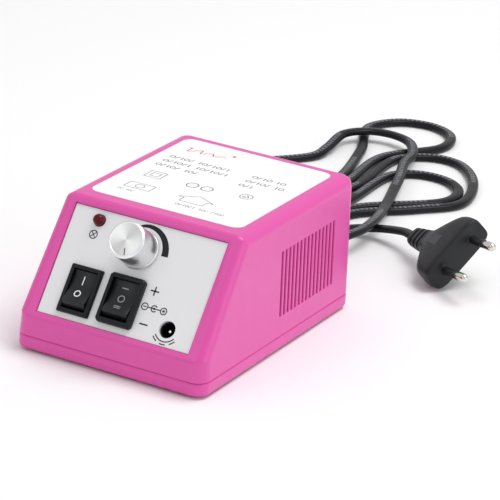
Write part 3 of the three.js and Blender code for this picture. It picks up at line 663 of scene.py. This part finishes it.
def make_plug_body(place):
    skin = [
        # z, width, depth, boxiness
        (-24, 12.2, 9.2, 0.3),
        (-22.5, 13.0, 10.0, 0.3),
        (-20.5, 15.0, 11.2, 0.4),
        (-18.5, 18.4, 12.2, 0.5),
        (-16.5, 22.6, 12.9, 0.6),
        (-14.5, 26.8, 13.3, 0.7),
        (-12.5, 30.2, 13.5, 0.85),
        (-10.5, 32.8, 13.6, 1.0),
        (-8.5, 34.2, 13.65, 1.0),
        (-6, 34.9, 13.7, 1.0),
        (-3.5, 34.9, 13.7, 1.0),
        (-1.6, 34.8, 13.6, 1.0),
        (-0.8, 34.5, 13.3, 1.0),
        (-0.25, 33.8, 12.6, 1.0),
        (0, 32.8, 11.6, 1.0),
    ]
    body = lofted(
        "plug_shell", [plug_outline(w, d, b, z) for z, w, d, b in skin], place, 40
    )
    sleeves = []
    for side in (-1, 1):
        at = place @ Matrix.Translation(Vector((side * PIN_SPACING / 2, 0, 0)) * MM)
        profile = [(0, -1), (2.5, -1), (2.5, 0.15), (1.95, 0.5), (1.9, 9.5), (1.75, 9.6), (0, 9.6)]
        sleeves.append(turned("sleeve", profile, at, 32))
    return merge("plug_moulding", [body, *sleeves])


def make_plug_collar(place):
    """The ribbed tail: rounded rings that shrink towards the lead."""
    sections = []
    rings = [(-24.2, 1.0), (-26.6, 0.97)]
    for start, size in ((-26.9, 0.96), (-30.7, 0.9), (-34.5, 0.82)):
        rings += [(start, size * 0.8), (start - 1.1, size * 0.79), (start - 1.3, size * 0.97)]
        rings += [(start - 3.4, size * 0.93)]
    rings += [(-38.2, 0.6), (-39.6, 0.58), (-40.0, 0.5)]
    for z, size in rings:
        sections.append(plug_outline(11.6 * size, 8.8 * size, 0.4, z, 40))
    return lofted("plug_tail", sections, place, 38)


def make_plug():
    place = plug_place()
    body = finished(make_plug_body(place), "sheath", "housing", "flex_rubber", "plug_body")
    tail = finished(
        make_plug_collar(place), "sheath", "housing", "flex_rubber", "plug_strain_relief"
    )
    pad = prism("plug_patch", rounded_box(5.6, 7.2, 0.5, (0, -13.2)), 0, 0.5)
    pad.matrix_world = place @ patch_turn()
    finished(pad, "patch", "housing", "flex_rubber")
    pins = []
    for name, side in (("plug_pin_a", -1), ("plug_pin_b", 1)):
        at = place @ Matrix.Translation(Vector((side * PIN_SPACING / 2, 0, 0)) * MM)
        profile = [(0, -11), (1.2, -11), (1.2, 9.7), (1.9, 9.7), (2.0, 9.9), (2.0, 16.9)]
        profile += [(2.0 * math.cos(a), 16.95 + 2.05 * math.sin(a)) for a in (0.3, 0.6, 0.9, 1.2)]
        profile += [(0, 19)]
        pin = turned(name + "_metal", profile, at, 40)
        pins.append(finished(pin, "pin", "housing", "nickel_pin", name))
    return [body, tail, pad, *pins]


def patch_turn():
    """Lays a pad drawn in XY on the plug's flat side, with its Y along the plug."""
    turn = Matrix(((1, 0, 0), (0, 0, 1), (0, 1, 0))).to_4x4()
    return Matrix.Translation(Vector((0, 6.35, 0)) * MM) @ turn


def make_strain_relief():
    low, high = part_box("strain_relief")
    middle = (low + high) / 2
    length = (high.y - low.y) / MM
    profile = [(0, 0), (4.6, 0), (4.6, 1.2), (3.6, 1.6), (3.6, 4.2), (5.4, 4.3), (5.6, 4.6)]
    profile += [(5.6, 5.7), (5.3, 6.1), (4.3, 6.5)]
    z, radius = 6.5, 4.3
    while z < length - 3.5:
        profile += [(radius, z + 0.2), (radius - 0.7, z + 0.35)]
        profile += [(radius - 0.75, z + 1.1), (radius - 0.1, z + 1.3)]
        z += 3.1
        radius -= 0.11
        profile += [(radius, z)]
    profile += [(radius - 0.1, length - 0.4), (radius - 0.5, length), (0, length)]
    place = Matrix.Translation((middle.x, low.y, middle.z)) @ Matrix.Rotation(-math.pi / 2, 4, "X")
    piece = turned("lead_strain_relief", profile, place, 40)
    return finished(piece, "sheath", "housing", "flex_rubber", "strain_relief")


# ---- Case ----


def half_width_at(z, inset=0.0):
    return HALF_WIDTH - TOP_NARROWING * (z - BASE_Z) / (TOP_Z - BASE_Z) - inset


def wedge(name, inset, low):
    """The case's body down to low, with its faces moved in by inset and its edges rounded."""
    sin, cos = math.sin(SLOPE), math.cos(SLOPE)
    top = TOP_Z - inset
    front = FRONT_Y + inset
    slope_y, slope_z = SLOPE_FOOT[1] + inset * sin, SLOPE_FOOT[2] - inset * cos
    crease_y = slope_y + (top - slope_z) * cos / sin
    foot = (front, slope_z + (front - slope_y) * sin / cos) if inset else SLOPE_FOOT[1:]
    back = BACK_Y - inset
    side = [(front, low), foot, (crease_y, top), (back, top), (back, low)]
    points = [(-half_width_at(z, inset), y, z) for y, z in side]
    points += [(half_width_at(z, inset), y, z) for y, z in side]
    faces = [(0, 1, 2, 3, 4), (9, 8, 7, 6, 5)]
    faces += [(i, (i + 1) % 5, (i + 1) % 5 + 5, i + 5) for i in range(5)]
    piece = add_mesh(name, points, faces)
    radii = {(0, 1): 6, (1, 2): 4.6, (2, 3): 5, (3, 4): 6}
    across = {1: 1.1, 2: 1.6, 3: 5}
    weights = piece.data.attributes.new("bevel_weight_edge", "FLOAT", "EDGE")
    for edge in piece.data.edges:
        a, b = sorted(v % 5 for v in edge.vertices)
        radius = across.get(a, 0) if a == b else radii.get((a, b), 0)
        weights.data[edge.index].value = max(radius - inset, 0.4 * (radius > 0)) / 6
    change = piece.modifiers.new("round", "BEVEL")
    change.limit_method = "WEIGHT"
    change.width = 6 * MM
    change.segments = 7
    change.harden_normals = True
    apply_modifiers(piece)
    return piece


def vent_cutters():
    """One chamfered cutter for each slot of both sides, leaning with the side's draft."""
    count, pitch, width, first, low, high = 15, 3.24, 1.55, -0.2, 16.0, 45.0
    points, faces = [], []
    for side in (-1, 1):
        for i in range(count):
            y = first + i * pitch
            start = len(points)
            for z in (low, high):
                face_x = half_width_at(z)
                mouth = [(face_x - 6, width / 2), (face_x - 0.35, width / 2), (face_x + 0.3, width / 2 + 0.5)]
                outline = mouth + [(x, -half) for x, half in reversed(mouth)]
                points += [(side * x, y + half, z) for x, half in outline]
            end = start + 6
            faces += [tuple(start + k for k in range(6)), tuple(end + k for k in range(6))]
            for k in range(6):
                turn = (k + 1) % 6
                faces.append((start + k, start + turn, end + turn, end + k))
    return add_mesh("vents", points, faces)


def make_upper_case():
    shell = wedge("case_top", 0, SEAM_Z + 0.08)
    recess = block(
        "recess",
        (-PANEL_HALF_WIDTH - 0.25, PANEL_LOW - 0.25, PANEL_TOP - 1.6),
        (PANEL_HALF_WIDTH + 0.25, PANEL_HIGH + 0.25, 6),
        FRONT,
    )
    opening = block(
        "opening",
        (-PANEL_HALF_WIDTH + 2.6, PANEL_LOW + 1.3, -12),
        (PANEL_HALF_WIDTH - 2.6, PANEL_HIGH - 1.3, 6),
        FRONT,
    )
    relief_low, relief_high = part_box("strain_relief")
    relief = (relief_low + relief_high) / 2 / MM
    outlet = prism("outlet", circle(3.9, 40), -20, 20)
    outlet_place = Matrix.Translation(Vector((relief.x, BACK_Y, relief.z)) * MM)
    outlet.matrix_world = outlet_place @ Matrix.Rotation(math.pi / 2, 4, "X")
    hollow = wedge("hollow", WALL, SEAM_Z - 3)
    combine(shell, [hollow, recess, opening, outlet, vent_cutters()], "DIFFERENCE")
    smooth_under(shell, 30)
    even_normals(shell)
    finished(shell, "case", "housing", "case_plastic", "upper_shell")


def make_lower_case():
    outline = rounded_box(2 * (HALF_WIDTH - 0.08), BACK_Y - FRONT_Y - 0.1, 6, steps=10)
    tray = prism("case_base", outline, BASE_Z, SEAM_Z - 0.08)
    bevel(tray, 1.0, 4, 60)
    inner = rounded_box(2 * (HALF_WIDTH - WALL), BACK_Y - FRONT_Y - 2 * WALL, 4, steps=8)
    hollow = prism("hollow", inner, BASE_Z + 2.2, SEAM_Z + 9)
    cutters = [hollow]
    for corner in ("front_left", "front_right", "rear_left", "rear_right"):
        cutters.append(pocket("case_screw_" + corner, 3.3, BASE_Z + 1.5))
        cutters.append(pocket("foot_" + corner, 5.8, BASE_Z + 0.9))
    combine(tray, cutters, "DIFFERENCE")
    smooth_under(tray, 30)
    lip_outer = rounded_box(2 * (HALF_WIDTH - WALL - 0.4), BACK_Y - FRONT_Y - 2 * WALL - 0.8, 3.6)
    lip_inner = rounded_box(2 * (HALF_WIDTH - WALL - 1.7), BACK_Y - FRONT_Y - 2 * WALL - 3.4, 2.6)
    lip = prism("lip", lip_outer, BASE_Z + 1.8, SEAM_Z + 1.5)
    combine(lip, [prism("inside", lip_inner, BASE_Z, SEAM_Z + 9)], "DIFFERENCE")
    smooth_under(lip, 30)
    finished(merge("case_bottom", [tray, lip]), "case", "housing", "case_plastic", "lower_shell")


def pocket(node, radius, depth):
    low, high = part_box(node)
    middle = (low + high) / 2 / MM
    return prism("pocket", circle(radius, 40, (middle.x, middle.y)), -1, depth)


def make_feet_and_screws():
    for corner in ("front_left", "front_right", "rear_left", "rear_right"):
        low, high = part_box("foot_" + corner)
        middle = (low + high) / 2
        place = Matrix.Translation((middle.x, middle.y, 0))
        profile = [(0, 0.25), (3.2, 0.2), (3.5, 0), (4.7, 0), (5.25, 0.2), (5.5, 0.7), (5.5, 1.75), (0, 1.75)]
        foot = turned("rubber_foot_" + corner, profile, place, 48)
        finished(foot, "rubber", "housing", "black_rubber", "foot_" + corner)
        low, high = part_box("case_screw_" + corner)
        middle = (low + high) / 2
        place = Matrix.Translation((middle.x, middle.y, low.z))
        profile = [(0, 0), (1.6, 0.05), (2.4, 0.4), (2.75, 1.0), (2.75, 1.6)]
        profile += [(1.25, 1.6), (1.25, 14), (0, 14.4)]
        screw = turned("screw_" + corner, profile, place, 40)
        slots = [block("slot", (-1.7, -0.35, -1), (1.7, 0.35, 0.9), place)]
        slots.append(block("slot", (-0.35, -1.7, -1), (0.35, 1.7, 0.9), place))
        combine(screw, slots, "DIFFERENCE")
        smooth_under(screw, 30)
        finished(screw, "steel", "housing", "plated_steel", "case_screw_" + corner)


# ---- Front plate and what is fitted to it ----


def make_front_plate():
    plate = block(
        "front_plate",
        (-PANEL_HALF_WIDTH, PANEL_LOW, PANEL_TOP - 1.5),
        (PANEL_HALF_WIDTH, PANEL_HIGH, PANEL_TOP),
        FRONT,
    )
    bevel(plate, 0.15, 2)
    cutters = []
    for size in (POWER_SWITCH, POLARITY_SWITCH):
        hole = rounded_box(size["well_width"] + 1.8, 19, 0.5, size["at"])
        cutters.append(prism("hole", hole, -9, 9, FRONT))
    for at, radius in ((KNOB_AT, 3.8), (LAMP_AT, 2.7), (SOCKET_AT, 3.65)):
        cutters.append(prism("hole", circle(radius, 56, at), -9, 9, FRONT))
    combine(plate, cutters, "DIFFERENCE")
    smooth_under(plate, 30)
    finished(plate, "panel", "housing", "panel_plate", "front_panel")


def bar(x0, y0, x1, y1, width):
    """The outline of a straight stroke."""
    along = Vector((x1 - x0, y1 - y0)).normalized()
    side = Vector((-along.y, along.x)) * width / 2
    a, b = Vector((x0, y0)), Vector((x1, y1))
    return [tuple(p) for p in (a - side, b - side, b + side, a + side)]


def ring_strokes(at, radius, width, start=0.0, end=360.0, count=40):
    """A circular stroke, as short outlines side by side."""
    strokes = []
    for i in range(count):
        a = math.radians(start + (end - start) * i / count)
        b = math.radians(start + (end - start) * (i + 1) / count)
        inner, outer = radius - width / 2, radius + width / 2
        corners = [(inner, a), (outer, a), (outer, b), (inner, b)]
        strokes.append([(at[0] + r * math.cos(t), at[1] + r * math.sin(t)) for r, t in corners])
    return strokes


def printed(name, outlines, height, thick, place, material, slot, body="housing"):
    """Ink: thin solid shapes on a flat surface at that height."""
    shapes = [prism(name, outline, height, height + thick, place) for outline in outlines]
    piece = merge(name, shapes) if len(shapes) > 1 else shapes[0]
    return finished(piece, material, body, slot)


def dial_scale():
    """The crescent round the dial, from a fine tip at its start to a broad blunt end."""
    inner, outer = [], []
    steps = 48
    for i in range(steps + 1):
        share = i / steps
        angle = math.radians(112 - 112 * share)
        inner.append((9.8, angle))
        outer.append((9.8 + 0.9 + 2.2 * share**0.8, angle))
    ring = inner + outer[::-1]
    return [(KNOB_AT[0] + r * math.cos(a), KNOB_AT[1] + r * math.sin(a)) for r, a in ring]


def polarity_sign(x, y):
    """A socket's contacts between a ring with a plus and a ring with a minus."""
    strokes = ring_strokes((x, y), 1.3, 0.45, 40, 320, 24) + [circle(0.5, 12, (x, y))]
    for side in (-1, 1):
        at = (x + side * 4.4, y)
        strokes += ring_strokes(at, 1.4, 0.42, count=24)
        strokes += [bar(at[0] - 0.8, y, at[0] + 0.8, y, 0.4)]
        strokes += [bar(x + side * 0.4, y, x + side * 3.0, y, 0.42)]
    strokes += [bar(x + 4.4, y - 0.8, x + 4.4, y + 0.8, 0.4)]
    return strokes


def make_panel_print():
    strokes = [dial_scale()]
    plus, minus = (12.2, 23.9), (12.4, 9.6)
    strokes += [bar(plus[0] - 1.9, plus[1], plus[0] + 1.9, plus[1], 0.6)]
    strokes += [bar(plus[0], plus[1] - 1.9, plus[0], plus[1] + 1.9, 0.6)]
    strokes += [bar(minus[0] - 1.9, minus[1], minus[0] + 1.9, minus[1], 0.6)]
    strokes += polarity_sign(14.6, 16.9)
    # A lamp's sign under the lamp: a crossed ring.
    at = (LAMP_AT[0] - 0.6, LAMP_AT[1] - 6.3)
    strokes += ring_strokes(at, 1.75, 0.38, count=28)
    for turn in (45, 135):
        dx, dy = 1.6 * math.cos(math.radians(turn)), 1.6 * math.sin(math.radians(turn))
        strokes += [bar(at[0] - dx, at[1] - dy, at[0] + dx, at[1] + dy, 0.34)]
    # Direct current's sign round the socket: a whole arc and a broken one.
    strokes += ring_strokes(SOCKET_AT, 5.2, 0.45, 215, 325, 22)
    for start in (218, 258, 298):
        strokes += ring_strokes(SOCKET_AT, 6.4, 0.45, start, start + 24, 6)
    printed("panel_print", strokes, PANEL_TOP - 0.02, 0.07, FRONT, "ink", "panel_plate")


def make_switch(size, marks):
    """A rocker switch: a bezel with a box behind it, and a saddle-shaped rocker in it."""
    name = size["name"]
    place = on_front(*size["at"], PANEL_TOP)
    width, height = size["bezel"]
    steps = 1 if size["corner"] > 1 else 4
    outer = rounded_box(width, height, size["corner"], steps=steps)
    inner = rounded_box(width - 0.8, height - 0.8, size["corner"], steps=steps)
    rise = size["bezel_height"]
    rings = [
        [(x, y, 0.03) for x, y in outer],
        [(x, y, rise - 0.75) for x, y in outer],
        [(x, y, rise) for x, y in inner],
    ]
    bezel = lofted(name + "_bezel", rings, place)
    bevel(bezel, 0.22, 2, 20)
    half = size["well_width"] / 2
    back = block("back", (-half - 0.7, -9.3, -14.4), (half + 0.7, 9.3, 0.5), place)
    combine(bezel, [back], "UNION")
    well = block("well", (-half - 0.05, -8.65, -9), (half + 0.05, 8.65, 9), place)
    combine(bezel, [well], "DIFFERENCE")
    smooth_under(bezel, 25)
    finished(bezel, "black", "housing", "black_plastic", name + "_switch_housing")
    make_rocker(size, marks)


def saddle(across, rise):
    """Height of the rocker's top over its pivot."""
    return rise - 1.5 * (1 - (across / 7.7) ** 2)


def make_rocker(size, marks):
    name, rise = size["name"], size["rise"]
    place = on_front(*size["at"], PANEL_TOP - 1.4) @ Matrix.Rotation(-ROCKER_TILT, 4, "X")
    steps = 16
    low_end, high_end = -6.5, 7.7
    top = [low_end + (high_end - low_end) * i / steps for i in range(steps + 1)]
    side = [(-8.1, 0.6), (-7.2, -0.2), (-3.2, -3.6), (3.2, -3.6), (7.2, -0.2), (8.1, 0.6)]
    side += [(y, saddle(y, rise)) for y in reversed(top)]
    turn = Matrix(((0, 0, 1), (1, 0, 0), (0, 1, 0))).to_4x4()
    half = size["well_width"] / 2 - 0.4
    rocker = prism(name + "_rocker_cap", side, -half, half, place @ turn, 20)
    bevel(rocker, 0.28, 3, 30)
    smooth_under(rocker, 25)
    finished(rocker, "rocker", name + "_rocker_body", "black_plastic", name + "_rocker")
    inks = []
    for outline in marks:
        ink = prism("mark", outline, 0, 0.05)
        for vertex in ink.data.vertices:
            vertex.co.z += (saddle(vertex.co.y / MM, rise) + 0.015) * MM
        ink.matrix_world = place
        inks.append(ink)
    mark = merge(name + "_marks", inks)
    finished(mark, size["ink"], name + "_rocker_body", "black_plastic")


def make_switches():
    power = [bar(0, 1.9, 0, 5.6, 0.42), *ring_strokes((-0.2, -2.2), 1.3, 0.48, count=28)]
    polarity = [bar(-1.5, 4.6, 1.5, 4.6, 0.4), *ring_strokes((0, 0), 1.4, 0.4, count=28)]
    polarity += [bar(-1.5, y, 1.5, y, 0.35) for y in (-3.6, -4.4)]
    make_switch(POWER_SWITCH, power)
    make_switch(POLARITY_SWITCH, polarity)


def make_knob():
    place = on_front(*KNOB_AT, PANEL_TOP)
    skirt = [(0, 4), (6.2, 4), (6.2, 0.7), (8.3, 0.7), (8.42, 0.82), (8.42, 1.3), (8.3, 1.42)]
    skirt += [(8.2, 1.6), (8.1, 13.9), (8.0, 14.25), (7.45, 14.9), (7.3, 14.98)]
    skirt += [(7.0, 14.98), (6.85, 14.8), (0, 14.72)]
    knob = turned("dial", skirt, place, 96, 24)
    aim = Matrix.Rotation(math.radians(14), 4, "Z")
    pointer = block("pointer", (-0.22, -6.6, 14.2), (0.22, -3.6, 16), place @ aim)
    combine(knob, [pointer], "DIFFERENCE")
    smooth_under(knob, 24)
    knob.data.materials.append(MATERIALS["knob_side"])
    knob.data.materials.append(MATERIALS["knob_face"])
    knob.data.materials.append(MATERIALS["ink"])
    for face in knob.data.polygons:
        centre = face.center / MM
        radius = math.hypot(centre.x, centre.y)
        if centre.z > 14.6 and radius < 6.9:
            face.material_index = 1
        elif 13.9 < centre.z < 14.66 and radius < 7:
            face.material_index = 2
    finished(knob, None, "knob", "turned_aluminium", "speed_knob", own_axes=True)


def make_lamp():
    profile = [(0, -3.5), (2.95, -3.5), (2.95, -2.4), (2.45, -2.4), (2.45, 0.1)]
    profile += [(2.45 * math.cos(a), 0.5 + 2.5 * math.sin(a)) for a in [k * math.pi / 20 for k in range(10)]]
    profile += [(0, 3)]
    lens = turned("lamp_dome", profile, on_front(*LAMP_AT), 48)
    finished(lens, "lens", "housing", "red_lens", "lamp_lens")


def make_socket():
    place = on_front(*SOCKET_AT)
    profile = [(0, -14.1), (5, -14.1), (5, -2.35), (3.55, -2.35), (3.3, -2.6), (3.3, -11.6)]
    profile += [(1.35, -11.6), (1.35, -13.5), (0, -13.5)]
    body = turned("socket", profile, place, 56)
    finished(body, "black", "housing", "black_plastic", "output_socket_body")
    tip = [(0, -13.2), (1.05, -13.2), (1.05, -4.6), (0.9, -4.0), (0.55, -3.65), (0, -3.55)]
    pin = turned("socket_pin", tip, place, 32)
    finished(pin, "pin", "housing", "nickel_pin", "output_socket_pin")


# ---- Top label ----


def outline_strokes(corners, width):
    return [bar(*a, *b, width) for a, b in zip(corners, corners[1:] + corners[:1])]


def mark_rows(x, y, counts, height):
    """A line of plain marks in groups: rings, upright strokes and slanted strokes in turn."""
    strokes = []
    half, wide = height / 2, height * 0.2
    for group, count in enumerate(counts):
        for i in range(count):
            kind = (group + i * 2) % 3
            if kind == 0:
                strokes += ring_strokes((x, y), half * 0.8, wide * 0.8, count=14)
            elif kind == 1:
                strokes.append(bar(x, y - half, x, y + half, wide))
            else:
                strokes.append(bar(x - half * 0.5, y - half, x + half * 0.5, y + half, wide))
            x += height * 0.82
        x += height * 0.7
    return strokes


def scribble(x, y, length):
    """A flourish: a wave that shrinks along its length."""
    steps = 36
    points = []
    for i in range(steps + 1):
        share = i / steps
        wave = math.sin(share * 6.5 * math.pi + 0.8) * (2.6 - 1.7 * share)
        points.append((x + length * share + 0.5 * wave, y + wave))
    return [bar(*a, *b, 0.55) for a, b in zip(points, points[1:])]


def make_label():
    low, high = (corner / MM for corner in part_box("top_label"))
    middle = ((low.x + high.x) / 2, (low.y + high.y) / 2)
    outline = rounded_box(high.x - low.x, high.y - low.y, 4.5, middle, 10)
    label = prism("label", outline, TOP_Z - 0.05, TOP_Z + 0.25)
    finished(label, "label", "housing", "label_film", "top_label")
    height, thick = TOP_Z + 0.23, 0.035
    rows = ((31.5, (5, 7), (4, 2)), (25.5, (6, 7), (5, 2)), (19.5, (5, 3), (3,)))
    lines = []
    for y, left, right in rows:
        lines += mark_rows(-29, y, left, 2.8) + mark_rows(11.5, y, right, 2.8)
    lines += mark_rows(1.5, -17, (6, 3, 4), 1.9) + mark_rows(-27, -16, (2, 3), 1.6)
    # Two nested squares, a boxed ring, a ring pair, a house outline and a ringed triangle.
    for half in (3.8, 1.9):
        square = [(-23 + x * half, 7 + y * half) for x, y in ((-1, -1), (1, -1), (1, 1), (-1, 1))]
        lines += outline_strokes(square, 0.35)
    lines += outline_strokes([(-27, -12.5), (-15, -12.5), (-15, -6), (-27, -6)], 0.35)
    lines += ring_strokes((-21, -9.2), 2.0, 0.35, count=24)
    lines += ring_strokes((-4.5, 6), 2.6, 0.5, count=28) + ring_strokes((2.5, 6), 2.6, 0.5, count=28)
    house = [(0, -13), (11, -13), (11, -8.5), (13.8, -8.5), (5.5, -4), (-2.8, -8.5), (0, -8.5)]
    lines += outline_strokes(house, 0.35)
    lines += ring_strokes((20, 8.5), 2.8, 0.4, count=28)
    lines += outline_strokes([(18.6, 7.5), (21.4, 7.5), (20, 10.1)], 0.4)
    printed("label_print", lines, height, thick, None, "grey_ink", "label_film")
    swash = scribble(-30, 43.8, 19) + [circle(0.9, 16, (-8, 48))]
    printed("label_mark", swash, height, thick, None, "red_ink", "label_film")


# ---- Inside the case, and the whole ----

SLOT_MATERIALS = {
    "brass_terminal": "brass",
    "plated_steel": "steel",
    "turned_aluminium": "aluminium",
    "core_laminate": "core",
    "winding": "winding",
    "board": "board",
    "clear_glass": "glass",
    "wire_brown": "brown",
    "wire_blue": "blue",
    "wire_red": "red",
    "black_plastic": "black",
}


def dress_inner_pieces():
    """CAD nodes that stay as they are get a material by their slot."""
    for part in frame["record"]["subparts"]:
        node = frame["nodes"][part["node"]]
        if node.hide_render:
            continue
        node.data.materials.clear()
        node.data.materials.append(MATERIALS[SLOT_MATERIALS[part["material_slot"]]])


def make_floor():
    floor = block("floor", (-4000, -4000, -20), (4000, 4000, 0))
    floor.location.z = -0.0001
    paper = moulded("paper_white", (0.93, 0.93, 0.935), 0.8, 60, 0.00001, 0.004)
    floor.data.materials.append(paper)


make_camera()
MATERIALS = make_materials()
lead, lead_line = make_lead()
plug_pieces = make_plug()
strain_relief = make_strain_relief()
make_upper_case()
make_lower_case()
make_feet_and_screws()
make_front_plate()
make_panel_print()
make_switches()
make_knob()
make_lamp()
make_socket()
make_label()
dress_inner_pieces()
make_light()
make_floor()
